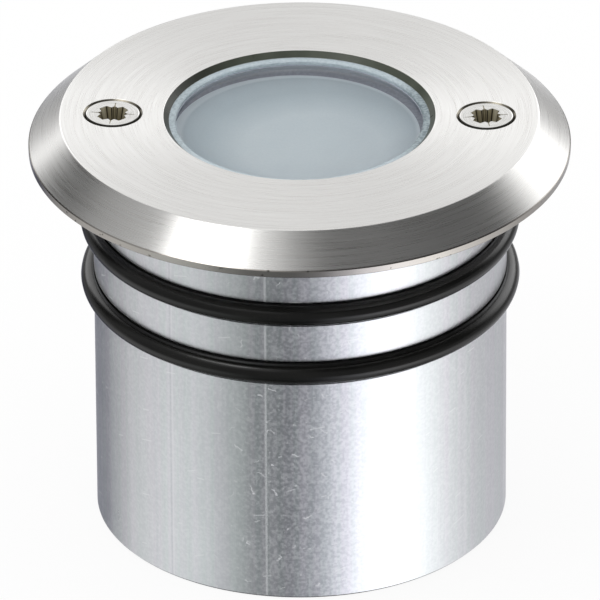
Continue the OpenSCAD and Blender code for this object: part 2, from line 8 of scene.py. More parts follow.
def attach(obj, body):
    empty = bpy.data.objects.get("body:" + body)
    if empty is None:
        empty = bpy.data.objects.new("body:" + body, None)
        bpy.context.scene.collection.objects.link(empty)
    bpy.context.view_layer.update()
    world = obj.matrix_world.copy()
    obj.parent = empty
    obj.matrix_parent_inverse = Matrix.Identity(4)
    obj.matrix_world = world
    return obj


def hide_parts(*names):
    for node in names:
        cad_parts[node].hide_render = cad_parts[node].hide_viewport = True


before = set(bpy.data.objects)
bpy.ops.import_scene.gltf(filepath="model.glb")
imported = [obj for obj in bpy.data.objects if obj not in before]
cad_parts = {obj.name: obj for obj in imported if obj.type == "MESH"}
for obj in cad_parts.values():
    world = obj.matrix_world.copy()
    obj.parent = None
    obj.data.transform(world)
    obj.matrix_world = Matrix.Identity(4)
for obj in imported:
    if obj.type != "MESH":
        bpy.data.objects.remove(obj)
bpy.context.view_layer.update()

# Camera
# A long lens from 1.64 m away, 28.4 degrees above the horizontal and a little to the right of the front.
# Its place was fitted to the outlines of the cover, the aperture and the tube's lower edge.
MM = 0.001
TOP_Z = 60.7


def direction(bearing, height_angle):
    """Unit vector at a bearing, in degrees from the front towards the right, and at a height angle"""
    turn, tilt = math.radians(bearing), math.radians(height_angle)
    return Vector((math.sin(turn) * math.cos(tilt), -math.cos(turn) * math.cos(tilt), math.sin(tilt)))


def add_object(name, data):
    """Puts an object with that mesh, lamp or lens in the scene"""
    made = bpy.data.objects.new(name, data)
    bpy.context.scene.collection.objects.link(made)
    return made


camera_distance = 1637.4 * MM
roll = -0.0057
aim = Vector((-0.07 * MM, 0, (TOP_Z - 29.4) * MM))
eye = Vector((0, 0, TOP_Z * MM)) + direction(1.5, 28.38) * camera_distance
ahead = (aim - eye).normalized()
level = ahead.cross(Vector((0, 0, 1))).normalized()
upward = level.cross(ahead)
right = level * math.cos(roll) + upward * math.sin(roll)
up = upward * math.cos(roll) - level * math.sin(roll)
lens = bpy.data.cameras.new("camera")
lens.sensor_width = 36
lens.lens = 711.4
lens.clip_end = 20
camera = add_object("camera", lens)
camera.matrix_world = Matrix((right, up, -ahead)).transposed().to_4x4()
camera.location = eye
bpy.context.scene.camera = camera
bpy.context.scene.view_settings.view_transform = "Standard"


# Studio
# A white sweep under the light and a pale studio round it. The sweep shows white to the camera and keeps
# the shadow. Polished metal sees past it, into rings of pale and dim tones: floor, walls and ceiling.
def linear(code):
    """Linear colour of an sRGB hex value"""
    parts = [int(code[i:i + 2], 16) / 255 for i in (0, 2, 4)]
    return tuple(c / 12.92 if c <= 0.04045 else ((c + 0.055) / 1.055) ** 2.4 for c in parts) + (1,)


def add(tree, kind, inputs=(), stops=(), **settings):
    """Adds a node and returns its output in use; inputs are values, hex colours or outputs to link from"""
    made = tree.nodes.new(kind)
    for name, value in settings.items():
        setattr(made, name, value)
    for key, value in dict(inputs).items():
        if isinstance(value, bpy.types.NodeSocket):
            tree.links.new(value, made.inputs[key])
        else:
            made.inputs[key].default_value = linear(value) if isinstance(value, str) else value
    if stops:
        line = made.color_ramp.elements
        while len(line) < len(stops):
            line.new(0.5)
        for element, (place, tone) in zip(line, stops):
            element.position = place
            element.color = linear(tone) if isinstance(tone, str) else (tone, tone, tone, 1)
    return next((socket for socket in made.outputs if socket.enabled), None)


def emptied_tree(owner):
    """The node tree of a material or of the world, with nothing in it yet"""
    owner.use_nodes = True
    owner.node_tree.nodes.clear()
    return owner.node_tree


SWEEP_HALF = 4.0
sweep_mesh = bpy.data.meshes.new("sweep")
sweep_mesh.from_pydata(
    [(x * SWEEP_HALF, y * SWEEP_HALF, 0) for x, y in ((-1, -1), (1, -1), (1, 1), (-1, 1))], [], [(0, 1, 2, 3)]
)
sweep = add_object("sweep", sweep_mesh)

paper = bpy.data.materials.new("white_paper_sweep")
tree = emptied_tree(paper)
ray = add(tree, "ShaderNodeLightPath").node.outputs
shaded = add(tree, "ShaderNodeBsdfDiffuse", {"Color": "F2F2F2"})
glowing = add(tree, "ShaderNodeEmission", {"Color": "FFFFFF", "Strength": 1.0})
open_floor = add(tree, "ShaderNodeBsdfTransparent")
white_share = add(tree, "ShaderNodeMath", {0: ray["Is Camera Ray"], 1: 0.90}, operation="MULTIPLY")
seen = add(tree, "ShaderNodeMixShader", {0: white_share, 1: shaded, 2: glowing})
lit = add(tree, "ShaderNodeMixShader", {0: ray["Is Glossy Ray"], 1: seen, 2: open_floor})
add(tree, "ShaderNodeOutputMaterial", {"Surface": lit})
sweep_mesh.materials.append(paper)

# What metal mirrors, by bearing in degrees from the camera's side towards the right. Each list is a ring
# of tones round the room, and the height angle blends from one ring to the next.
floor_tones = [
    (-180, 0.96), (-160, 0.41), (-147, 0.14), (-134, 0.42), (-119, 0.64), (-100, 0.93), (-78, 1.04),
    (-57, 1.01), (-43, 0.84), (-30, 0.455), (-18, 0.28), (-2, 0.237), (9, 0.385), (20, 1.00), (30, 1.76),
    (44, 2.35), (60, 2.10), (76, 1.46), (92, 1.04), (110, 0.74), (135, 0.74), (155, 0.66),
]
wall_tones = [
    (-180, 0.79), (-166, 1.50), (-142, 1.98), (-134, 0.31), (-126, 0.01), (-114, 0.11), (-100, 0.42),
    (-60, 0.35), (0, 0.30), (60, 0.28), (92, 0.08), (104, 0.10), (114, 0.44), (124, 1.55), (136, 2.30),
    (150, 2.45), (168, 1.85),
]
ceiling_tones = [
    (-180, 0.84), (-150, 0.78), (-125, 0.15), (-90, 0.51), (-72, 0.53), (-45, 0.90), (-22, 0.80), (0, 0.27),
    (20, 0.07), (55, 0.08), (85, 0.05), (110, 0.07), (145, 0.42),
]
floor_tints = [
    (-180, "F6F6F8"), (-148, "CFD3EE"), (-125, "F5F5F6"), (-85, "F8F8F8"), (-55, "F3F7F6"), (-30, "F1F5F4"),
    (-5, "EEF2F4"), (14, "EEEFF8"), (30, "F7F7FE"), (60, "FFFFFF"), (110, "FDFDFE"), (150, "F4F4F8"),
]
HORIZON_TONE = 0.12
BRIGHTEST = 2.5
room = bpy.data.worlds.new("pale_room")
bpy.context.scene.world = room
tree = emptied_tree(room)
ray = add(tree, "ShaderNodeLightPath").node.outputs
own = add(tree, "ShaderNodeTexCoord").node.outputs["Generated"]
toward = add(tree, "ShaderNodeSeparateXYZ", {0: own}).node.outputs
forward = add(tree, "ShaderNodeMath", {0: toward["Y"], 1: -1.0}, operation="MULTIPLY")
bearing = add(tree, "ShaderNodeMath", {0: toward["X"], 1: forward}, operation="ARCTAN2")
round_share = add(tree, "ShaderNodeMapRange", {0: bearing, 1: -math.pi, 2: math.pi})


def ring_stops(ring):
    """Ramp stops from (degrees, tone) pairs; the ring closes on its first tone"""
    return [((place + 180) / 360, tone) for place, tone in ring + [(180, ring[0][1])]]


def ring_of_tones(ring):
    """The tone at each bearing round the room, as a share of the brightest"""
    shares = [(place, tone / BRIGHTEST) for place, tone in ring]
    tone = add(tree, "ShaderNodeValToRGB", {0: round_share}, ring_stops(shares))
    tone.node.color_ramp.interpolation = "EASE"
    return tone


def by_height(low, high, least=0.0):
    """A value that rises from its least to 1 between two height angles in degrees"""
    low, high = (math.sin(math.radians(angle)) for angle in (low, high))
    return add(
        tree, "ShaderNodeMapRange", {0: toward["Z"], 1: low, 2: high, 3: least}, interpolation_type="SMOOTHSTEP"
    )


tint = add(tree, "ShaderNodeValToRGB", {0: round_share}, ring_stops(floor_tints))
tone = add(
    tree, "ShaderNodeMix", {0: 1.0, 6: ring_of_tones(floor_tones), 7: tint}, data_type="RGBA", blend_type="MULTIPLY"
)
for above, low, high in (
    ((HORIZON_TONE, HORIZON_TONE, HORIZON_TONE, 1), -20, -6),
    (ring_of_tones(wall_tones), 4, 12),
    (ring_of_tones(ceiling_tones), 30, 44),
):
    tone = add(tree, "ShaderNodeMix", {0: by_height(low, high), 6: tone, 7: above}, data_type="RGBA")
# Steeply down, metal sees the floor close to the light, in the light's own shadow
strength = add(tree, "ShaderNodeMath", {0: by_height(-66, -40, 0.30), 1: BRIGHTEST}, operation="MULTIPLY")
mirrored = add(tree, "ShaderNodeBackground", {"Color": tone, "Strength": strength})
white = add(tree, "ShaderNodeBackground", {"Color": "FFFFFF", "Strength": 1.0})
off_metal = add(tree, "ShaderNodeMath", {
    0: ray["Is Glossy Ray"], 1: ray["Is Transmission Ray"]
}, operation="SUBTRACT", use_clamp=True)
around = add(tree, "ShaderNodeMixShader", {0: off_metal, 1: white, 2: mirrored})
shown = add(tree, "ShaderNodeMixShader", {0: ray["Is Camera Ray"], 1: around, 2: white})
add(tree, "ShaderNodeOutputWorld", {"Surface": shown})


def soft_box(name, bearing, height_angle, distance, size, power):
    """A soft box that faces the light; its distance and size are in metres"""
    lamp = bpy.data.lights.new(name, "AREA")
    lamp.shape = "RECTANGLE"
    lamp.size, lamp.size_y = size
    lamp.energy = power
    outward = direction(bearing, height_angle)
    holder = add_object(name, lamp)
    holder.matrix_world = outward.to_track_quat("Z", "Y").to_matrix().to_4x4()
    holder.location = outward * distance + Vector((0, 0, TOP_Z * MM))


soft_box("left_front_box", -53, 56, 0.60, (0.26, 0.16), 0.46)
soft_box("overhead_box", 180, 76, 0.70, (0.56, 0.56), 0.35)


# Cover
# A stainless disc turned on a lathe: a flat top, a wide bevel, a thin rim, a chamfered aperture and a
# spigot below. Two cover screws sink into it, and it clamps the glass on the tube.
COVER_R, FLANGE_Z, TUBE_TOP_Z = 37.5, 55.7, 56.0
APERTURE_R, CHAMFER_R, FLAT_R, LIP_Z = 18.05, 18.80, 33.05, 59.90
SPIGOT_R, SPIGOT_Z, STEP_R, RECESS_R = 22.6, 54.4, 28.8, 21.4
BEVEL_LOW_Z, EDGE_ROUND = 56.62, 0.05
SCREW_X, CLEARANCE_R, SINK_R = 25.8, 2.25, 4.15
LATHE_R = 10.0
EDGE_BAND = 0.08


def turning_tree():
    """Sweeps the outline that an object's mesh holds round the axis, and gives it a material"""
    made = bpy.data.node_groups.new("Turned", "GeometryNodeTree")
    face = made.interface
    face.new_socket("Outline", in_out="INPUT", socket_type="NodeSocketGeometry")
    for name, kind in (("Lathe Radius", "Float"), ("Steps", "Int"), ("Material", "Material")):
        face.new_socket(name, in_out="INPUT", socket_type="NodeSocket" + kind)
    face.new_socket("Turned", in_out="OUTPUT", socket_type="NodeSocketGeometry")
    given = add(made, "NodeGroupInput").node.outputs
    outline = add(made, "GeometryNodeMeshToCurve", {0: given["Outline"]})
    path = add(made, "GeometryNodeCurvePrimitiveCircle", {
        "Radius": given["Lathe Radius"], "Resolution": given["Steps"]
    })
    swept = add(made, "GeometryNodeCurveToMesh", {"Curve": path, "Profile Curve": outline})
    closed = add(made, "GeometryNodeMergeByDistance", {0: swept, "Distance": 1e-6})
    solid = add(made, "GeometryNodeRealizeInstances", {0: closed})
    dressed = add(made, "GeometryNodeSetMaterial", {0: solid, "Material": given["Material"]})
    add(made, "NodeGroupOutput", {0: dressed})
    return made


turned_tree = turning_tree()


def settle(draft, name):
    """Turns a draft's modifiers into a plain mesh in an object of that name, crisp at edges over 28 degrees"""
    graph = bpy.context.evaluated_depsgraph_get()
    mesh = bpy.data.meshes.new_from_object(draft.evaluated_get(graph))
    mesh.name = name
    bpy.data.objects.remove(draft)
    mesh.shade_smooth()
    mesh.set_sharp_from_angle(angle=math.radians(28))
    return add_object(name, mesh)


def turned(name, outline, material, steps=256, cutters=()):
    """A piece turned from a closed outline of (radius, height) points in mm, less its cutters"""
    area = sum(a[0] * b[1] - b[0] * a[1] for a, b in zip(outline, outline[1:] + outline[:1]))
    corners = outline if area < 0 else outline[::-1]
    points = []
    for a, b in zip(corners, corners[1:] + corners[:1]):
        points.append(a)
        # A narrow band beside each corner keeps the smooth shading off the wide face
        share = EDGE_BAND / math.dist(a, b)
        if share < 0.1:
            points += [tuple(p + (q - p) * t for p, q in zip(a, b)) for t in (share, 1 - share)]
    mesh = bpy.data.meshes.new(name)
    spots = [((r - LATHE_R) * MM, -z * MM, 0) for r, z in points]
    mesh.from_pydata(spots, [(i, (i + 1) % len(spots)) for i in range(len(spots))], [])
    draft = add_object(name, mesh)
    lathe = draft.modifiers.new("Turned", "NODES")
    lathe.node_group = turned_tree
    values = {"Lathe Radius": LATHE_R * MM, "Steps": steps, "Material": material}
    for socket in turned_tree.interface.items_tree:
        if socket.name in values:
            lathe[socket.identifier] = values[socket.name]
    for tool in cutters:
        cut = draft.modifiers.new("Cut", "BOOLEAN")
        cut.object = tool
        cut.solver = "EXACT"
    piece = settle(draft, name)
    for tool in cutters:
        bpy.data.objects.remove(tool)
    return piece


def circle(radius, steps):
    """Corners of a round outline, anticlockwise"""
    return [Matrix.Rotation(2 * math.pi * i / steps, 2) @ Vector((radius, 0)) for i in range(steps)]


def cutter(levels, place=(0, 0), turn=0):
    """A closed solid to cut with, from outlines in mm stacked at their heights, turned and put in place"""
    shape = bmesh.new()
    spin = Matrix.Rotation(math.radians(turn), 2)
    rings = []
    for outline, z in levels:
        corners = [spin @ Vector(point) for point in outline]
        rings.append([shape.verts.new(Vector((place[0] + x, place[1] + y, z)) * MM) for x, y in corners])
    shape.faces.new(rings[0][::-1])
    shape.faces.new(rings[-1])
    for low, high in zip(rings, rings[1:]):
        for i in range(len(low)):
            j = (i + 1) % len(low)
            shape.faces.new((low[i], low[j], high[j], high[i]))
    mesh = bpy.data.meshes.new("cutter")
    shape.to_mesh(mesh)
    shape.free()
    made = add_object("cutter", mesh)
    made.hide_render = True
    return made


def new_finish(name):
    """A material and its empty tree"""
    made = bpy.data.materials.new(name)
    return made, emptied_tree(made)


def finished(made, sockets):
    """Gives a material its one shader, with values and outputs on the shader's own sockets"""
    shader = add(made.node_tree, "ShaderNodeBsdfPrincipled", sockets)
    add(made.node_tree, "ShaderNodeOutputMaterial", {"Surface": shader})
    return made


def about_axis(tree, centre=(0, 0, 0), place=None):
    """Radius, height and direction round an upright axis, in metres of the piece's own coordinates"""
    if place is None:
        place = add(tree, "ShaderNodeTexCoord").node.outputs["Object"]
    place = add(tree, "ShaderNodeVectorMath", {0: place, 1: centre}, operation="SUBTRACT")
    flat = add(tree, "ShaderNodeVectorMath", {0: place, 1: (1, 1, 0)}, operation="MULTIPLY")
    radius = add(tree, "ShaderNodeVectorMath", {0: flat}, operation="LENGTH")
    turn = add(tree, "ShaderNodeVectorMath", {0: flat}, operation="NORMALIZE")
    height = add(tree, "ShaderNodeSeparateXYZ", {0: place}).node.outputs["Z"]
    return radius, height, turn


def tool_marks(tree, radius, height, turn, pitch, arc):
    """Grey noise in rings about the axis: lines a pitch apart and about an arc long, in mm at 30 mm out"""
    along = add(tree, "ShaderNodeMath", {0: radius, 1: height}, operation="SUBTRACT")
    count = add(tree, "ShaderNodeMath", {0: along, 1: 1 / (pitch * MM)}, operation="MULTIPLY")
    lift = add(tree, "ShaderNodeCombineXYZ", {"Z": count})
    reach = 30 / arc
    place = add(tree, "ShaderNodeVectorMath", {0: turn, 1: (reach, reach, 0), 2: lift}, operation="MULTIPLY_ADD")
    return add(tree, "ShaderNodeTexNoise", {"Vector": place, "Scale": 1.0, "Detail": 3.0})


def ground_steel():
    """Turned and fine-ground stainless: hair lines in rings draw each highlight out across them.
    Real ones are some 0.03 mm apart, and are drawn 0.1 mm apart so that they show."""
    made, tree = new_finish("ground_stainless")
    radius, height, turn = about_axis(tree)
    fine = tool_marks(tree, radius, height, turn, 0.10, 9)
    broad = tool_marks(tree, radius, height, turn, 0.45, 16)
    marks = add(tree, "ShaderNodeMix", {0: 0.28, 2: fine, 3: broad}, data_type="FLOAT")
    steel = add(tree, "ShaderNodeValToRGB", {0: marks}, [(0.25, "D7D6D3"), (0.5, "E4E3E1"), (0.75, "EDEDEB")])
    rim = add(tree, "ShaderNodeMapRange", {
        0: radius, 1: (COVER_R - 0.20) * MM, 2: (COVER_R - 0.08) * MM
    }, interpolation_type="SMOOTHSTEP")
    steel = add(tree, "ShaderNodeMix", {0: rim, 6: steel, 7: "A9A5A0"}, data_type="RGBA")
    own = add(tree, "ShaderNodeTexCoord").node.outputs["Object"]
    aside = add(tree, "ShaderNodeVectorMath", {0: own}, operation="ABSOLUTE")
    from_screw = about_axis(tree, (SCREW_X * MM, 0, 0), aside)[0]
    # Painted shade: the countersinks' cones are painted a dark grey-brown, as the shade in the gap round each screw
    # head
    outside = add(tree, "ShaderNodeMapRange", {
        0: from_screw, 1: (SINK_R - 0.05) * MM, 2: (SINK_R + 0.01) * MM
    }, interpolation_type="SMOOTHSTEP")
    on_top = add(tree, "ShaderNodeMapRange", {
        0: height, 1: (TOP_Z - 0.03) * MM, 2: (TOP_Z - 0.01) * MM
    }, interpolation_type="SMOOTHSTEP")
    clear_of_sink_shade = add(tree, "ShaderNodeMath", {0: outside, 1: on_top}, operation="MAXIMUM")
    steel = add(tree, "ShaderNodeMix", {0: clear_of_sink_shade, 6: "8C877B", 7: steel}, data_type="RGBA")
    chips = add(tree, "ShaderNodeTexNoise", {"Vector": own, "Scale": 1 / (0.9 * MM), "Detail": 2.0})
    chips = add(tree, "ShaderNodeMapRange", {0: chips, 1: 0.67, 2: 0.70}, interpolation_type="SMOOTHSTEP")
    chipped = add(tree, "ShaderNodeMath", {0: chips, 1: rim}, operation="MULTIPLY")
    steel = add(tree, "ShaderNodeMix", {0: chipped, 6: steel, 7: "4E4B45"}, data_type="RGBA")
    rough = add(tree, "ShaderNodeMapRange", {0: marks, 1: 0.2, 2: 0.8, 3: 0.23, 4: 0.35})
    return finished(made, {
        "Base Color": steel, "Metallic": 1.0, "Anisotropic": 0.72, "Anisotropic Rotation": 0.25,
        "Roughness": add(tree, "ShaderNodeMath", {0: rim, 1: -0.10, 2: rough}, operation="MULTIPLY_ADD"),
        "Normal": add(tree, "ShaderNodeBump", {"Strength": 0.08, "Distance": 0.02 * MM, "Height": marks}),
        "Tangent": add(tree, "ShaderNodeTangent", direction_type="RADIAL", axis="Z"),
    })


def painted_dark_lip():
    """The aperture's chamfer in bare steel with its reflection painted in: a dull olive-brown, painted darkest on
    the left
    """
    made, tree = new_finish("chamfer_painted_reflection")
    radius, height, turn = about_axis(tree)
    marks = tool_marks(tree, radius, height, turn, 0.12, 6)
    # Painted reflection: olive-brown tones in place of the dim room that the steel would mirror, with painted shade
    # darker still on the left
    dark_reflection = add(tree, "ShaderNodeValToRGB", {0: marks}, [(0.3, "3F433B"), (0.7, "4D5248")])
    darker_left = add(tree, "ShaderNodeValToRGB", {0: marks}, [(0.3, "2A2D28"), (0.7, "343731")])
    sideways = add(tree, "ShaderNodeSeparateXYZ", {0: turn}).node.outputs["X"]
    away_from_left = add(tree, "ShaderNodeMapRange", {0: sideways, 1: -0.80, 2: -0.35}, interpolation_type="SMOOTHSTEP")
    return finished(made, {
        "Base Color": add(tree, "ShaderNodeMix", {0: away_from_left, 6: darker_left, 7: dark_reflection}, data_type="RGBA"),
        "Roughness": add(tree, "ShaderNodeMapRange", {0: marks, 1: 0.2, 2: 0.8, 3: 0.24, 4: 0.36}),
        "Specular IOR Level": 0.2,
    })


cover_outline = [
    (APERTURE_R, LIP_Z), (APERTURE_R, LIP_Z + 0.05), (CHAMFER_R, TOP_Z - 0.02), (CHAMFER_R + 0.08, TOP_Z),
    (FLAT_R, TOP_Z), (FLAT_R + 0.1, TOP_Z - 0.04),
    *((COVER_R - EDGE_ROUND * (1 - math.cos(a)), BEVEL_LOW_Z + EDGE_ROUND * math.sin(a))
      for a in map(math.radians, (45, 30, 15, 0))),
    (COVER_R, FLANGE_Z + 0.1), (COVER_R - 0.1, FLANGE_Z), (STEP_R, FLANGE_Z), (STEP_R, TUBE_TOP_Z),
    (SPIGOT_R, TUBE_TOP_Z), (SPIGOT_R, SPIGOT_Z + 0.1), (SPIGOT_R - 0.1, SPIGOT_Z), (RECESS_R, SPIGOT_Z),
    (RECESS_R, LIP_Z),
]
sink_low_z = TOP_Z - (SINK_R - CLEARANCE_R)
screw_cut = [
    (circle(r, 96), z) for r, z in ((CLEARANCE_R, 50), (CLEARANCE_R, sink_low_z), (SINK_R + 0.5, TOP_Z + 0.5))
]
screw_cuts = [cutter(screw_cut, (side * SCREW_X, 0)) for side in (-1, 1)]
cover = turned("cover", cover_outline, ground_steel(), 320, screw_cuts)
cover.data.materials.append(painted_dark_lip())
for face in cover.data.polygons:
    if face.center.z > (LIP_Z + 0.04) * MM and face.center.xy.length < (CHAMFER_R + 0.01) * MM:
        face.material_index = 1
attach(cover, "cover")
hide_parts("cover_ring")


# Body tube
# Thick aluminium tube, drawn through a die and left bare. Its ends are faced, and its grooves, bores
# and screw holes are cut on the lathe and the drill press.
TUBE_R, MOUTH_R, BORE_R, BASE_BORE_R = 28.7, 22.7, 22.0, 24.0
SEAT_Z, PLUG_TOP_Z, PLUG_LOW_Z = 51.5, 24.0, 18.0
SNAP_GROOVE_R, SNAP_GROOVE_LOW_Z = 25.1, PLUG_LOW_Z - 1.3
GRIP_Z = (45.2, 36.0)
GROOVE_R, GROOVE_HALF, GROOVE_TOP = 27.45, 1.8, 1.58
TAP_R, OFF_FLOOR = 2.05, 0.002


def scratches(tree, across, along, cell, length, width, spread, wander, seed):
    """A mask of short scratches, one in each random cell, within a spread of angles; sizes in mm"""
    flat = add(tree, "ShaderNodeCombineXYZ", {0: across, 1: along, 2: seed})
    sway = add(tree, "ShaderNodeTexNoise", {"Vector": flat, "Scale": 1 / (0.8 * MM), "Detail": 1.0}).node.outputs
    centred = add(tree, "ShaderNodeVectorMath", {0: sway["Color"], 1: (0.5, 0.5, 0.5)}, operation="SUBTRACT")
    place = add(tree, "ShaderNodeVectorMath", {
        0: centred, 1: (wander * MM, wander * MM, 0), 2: flat
    }, operation="MULTIPLY_ADD")
    cells = add(tree, "ShaderNodeTexVoronoi", {
        "Vector": place, "Scale": 1 / (cell * MM), "Randomness": 1.0
    }, voronoi_dimensions="2D").node.outputs
    apart = add(tree, "ShaderNodeVectorMath", {0: place, 1: cells["Position"]}, operation="SUBTRACT")
    offset = add(tree, "ShaderNodeVectorMath", {0: apart, 3: 1 / (cell * MM)}, operation="SCALE")
    chance = add(tree, "ShaderNodeSeparateColor", {0: cells["Color"]}).node.outputs
    angle = add(tree, "ShaderNodeMath", {0: chance[0], 1: spread}, operation="MULTIPLY")
    slanted = add(tree, "ShaderNodeVectorRotate", {"Vector": offset, "Angle": angle}, rotation_type="Z_AXIS")
    local = add(tree, "ShaderNodeSeparateXYZ", {0: slanted}).node.outputs
    off_line = add(tree, "ShaderNodeMath", {0: local["Y"]}, operation="ABSOLUTE")
    off_middle = add(tree, "ShaderNodeMath", {0: local["X"]}, operation="ABSOLUTE")
    reach = add(tree, "ShaderNodeMath", {0: chance[1], 1: length / cell}, operation="MULTIPLY")
    in_line = add(tree, "ShaderNodeMapRange", {0: off_line, 1: 0.0, 2: width / cell, 3: 1.0, 4: 0.0})
    in_reach = add(tree, "ShaderNodeMath", {0: off_middle, 1: reach}, operation="LESS_THAN")
    return add(tree, "ShaderNodeMath", {0: in_line, 1: in_reach}, operation="MULTIPLY")


def stripe(tree, arc, at, near, far, strength, rest=0.0):
    """A stripe up the tube, so many mm round from the front, that fades from its strength to the rest"""
    gap = add(tree, "ShaderNodeMath", {0: arc, 1: at * MM}, operation="SUBTRACT")
    distance = add(tree, "ShaderNodeMath", {0: gap}, operation="ABSOLUTE")
    return add(tree, "ShaderNodeMapRange", {0: distance, 1: near * MM, 2: far * MM, 3: strength, 4: rest})


def handling_marks(tree, arc, height, grain):
    """Where handling rubbed the tube pale: two long lines, worn dots, squiggles, specks and upright scuffs"""
    light_line = stripe(tree, arc, -4.15, 0.07, 0.24, 0.34)
    pale_line = stripe(tree, arc, -18.35, 0.05, 0.20, 0.20)
    front = stripe(tree, arc, -1.0, 6, 12, 0.64, 0.17)
    half_front = add(tree, "ShaderNodeMath", {0: front, 1: 0.5}, operation="MULTIPLY")
    worn_dots = add(tree, "ShaderNodeMapRange", {0: grain, 1: 0.46, 2: 0.70, 3: 0.0, 4: 0.13})
    squiggles = scratches(tree, arc, height, 3.4, 0.7, 0.12, 2 * math.pi, 1.0, 0.0)
    specks = scratches(tree, arc, height, 1.7, 0.22, 0.12, 2 * math.pi, 0.3, 5.0)
    scuffs = scratches(tree, arc, height, 7.0, 1.2, 0.14, -0.4, 0.1, 9.0)
    marks = add(tree, "ShaderNodeMath", {0: light_line, 1: pale_line}, operation="ADD")
    for mask, strength in ((worn_dots, 1.0), (squiggles, front), (specks, half_front), (scuffs, 0.5)):
        faded = add(tree, "ShaderNodeMath", {0: mask, 1: strength}, operation="MULTIPLY")
        marks = add(tree, "ShaderNodeMath", {0: marks, 1: faded}, operation="MAXIMUM")
    return marks


def drawn_aluminium():
    """Bare drawn aluminium: die lines up the tube smear highlights sideways, and handling left pale marks.
    Real die lines are under 0.1 mm apart, and the finest are drawn 0.16 mm apart so that they show."""
    made, tree = new_finish("drawn_aluminium")
    own = add(tree, "ShaderNodeTexCoord").node.outputs["Object"]
    place = add(tree, "ShaderNodeSeparateXYZ", {0: own}).node.outputs
    height = place["Z"]
    behind = add(tree, "ShaderNodeMath", {0: place["Y"], 1: -1.0}, operation="MULTIPLY")
    bearing = add(tree, "ShaderNodeMath", {0: place["X"], 1: behind}, operation="ARCTAN2")
    arc = add(tree, "ShaderNodeMath", {0: bearing, 1: TUBE_R * MM}, operation="MULTIPLY")
    drift = add(tree, "ShaderNodeMath", {0: height, 1: 0.012}, operation="MULTIPLY")
    lines = []
    for pitch, seed in ((0.16, 3.1), (0.9, 7.7), (4.0, 1.3)):
        spot = add(tree, "ShaderNodeCombineXYZ", {0: arc, 1: drift, 2: seed})
        lines.append(add(tree, "ShaderNodeTexNoise", {"Vector": spot, "Scale": 1 / (pitch * MM), "Detail": 2.0}))
    die = add(tree, "ShaderNodeMix", {0: 0.5, 2: lines[0], 3: lines[1]}, data_type="FLOAT")
    die = add(tree, "ShaderNodeMix", {0: 0.4, 2: die, 3: lines[2]}, data_type="FLOAT")
    grain = add(tree, "ShaderNodeTexNoise", {"Vector": own, "Scale": 1 / (0.48 * MM), "Detail": 3.0})
    clouds = add(tree, "ShaderNodeTexNoise", {"Vector": own, "Scale": 1 / (9 * MM), "Detail": 3.0})
    share_up = add(tree, "ShaderNodeMath", {0: height, 1: 1 / (TUBE_TOP_Z * MM)}, operation="MULTIPLY")
    metal = add(tree, "ShaderNodeValToRGB", {0: die}, [(0.3, "D9DADD"), (0.5, "E2E3E5"), (0.7, "E9EAEC")])
    bands = [(0.30, "F0F6F5"), (0.42, "F8F6F9"), (0.52, "F2F6F5"), (0.62, "FAF8FB"), (0.75, "F2F6F6")]
    # Painted shade: the tube is painted darker towards its top, as the shade under the cover
    shade_under_cover = [(0.1, "FFFFFF"), (0.6, "F6F6F6"), (0.9, "F3F3F3")]
    pitted = [(0.36, "E7E8E9"), (0.50, "F6F6F7"), (0.62, "FFFFFF")]
    on_front = stripe(tree, arc, 1.5, 4, 10, 1.0, 0.25)
    for factor, value, stops in ((1.0, lines[2], bands), (1.0, share_up, shade_under_cover), (on_front, grain, pitted)):
        shade = add(tree, "ShaderNodeValToRGB", {0: value}, stops)
        metal = add(
            tree, "ShaderNodeMix", {0: factor, 6: metal, 7: shade}, data_type="RGBA", blend_type="MULTIPLY"
        )
    dark_line = stripe(tree, arc, -18.7, 0.04, 0.20, 0.26)
    metal = add(tree, "ShaderNodeMix", {0: dark_line, 6: metal, 7: "A6A9AE"}, data_type="RGBA")
    marks = handling_marks(tree, arc, height, grain)
    metal = add(tree, "ShaderNodeMix", {0: marks, 6: metal, 7: "F4F5F6"}, data_type="RGBA")
    # Painted shade: the bottom chamfer is painted dark grey, as the shade where the tube stands on the floor
    clear_of_foot_shade = add(tree, "ShaderNodeMapRange", {
        0: height, 1: 0.29 * MM, 2: 0.33 * MM
    }, interpolation_type="SMOOTHSTEP")
    worn = add(tree, "ShaderNodeMix", {0: 0.5, 2: die, 3: clouds}, data_type="FLOAT")
    rough = add(tree, "ShaderNodeMapRange", {0: worn, 1: 0.3, 2: 0.7, 3: 0.26, 4: 0.36})
    return finished(made, {
        "Base Color": add(tree, "ShaderNodeMix", {0: clear_of_foot_shade, 6: "66676A", 7: metal}, data_type="RGBA"),
        "Metallic": add(tree, "ShaderNodeMapRange", {0: marks, 3: 1.0, 4: 0.35}), "Anisotropic": 0.55,
        "Roughness": add(tree, "ShaderNodeMath", {0: marks, 1: 0.2, 2: rough}, operation="MULTIPLY_ADD"),
        "Normal": add(tree, "ShaderNodeBump", {"Strength": 0.14, "Distance": 0.03 * MM, "Height": die}),
        "Tangent": add(tree, "ShaderNodeTangent", direction_type="RADIAL", axis="Z"),
    })


def groove(z):
    """Outline of a grip ring's groove, from its upper lip down, with broken edges"""
    lip, top = 0.22, 0.12
    return [
        (TUBE_R, z + GROOVE_TOP + top), (TUBE_R - top, z + GROOVE_TOP), (GROOVE_R, z + GROOVE_TOP),
        (GROOVE_R, z - GROOVE_HALF), (TUBE_R - lip, z - GROOVE_HALF), (TUBE_R, z - GROOVE_HALF - lip),
    ]


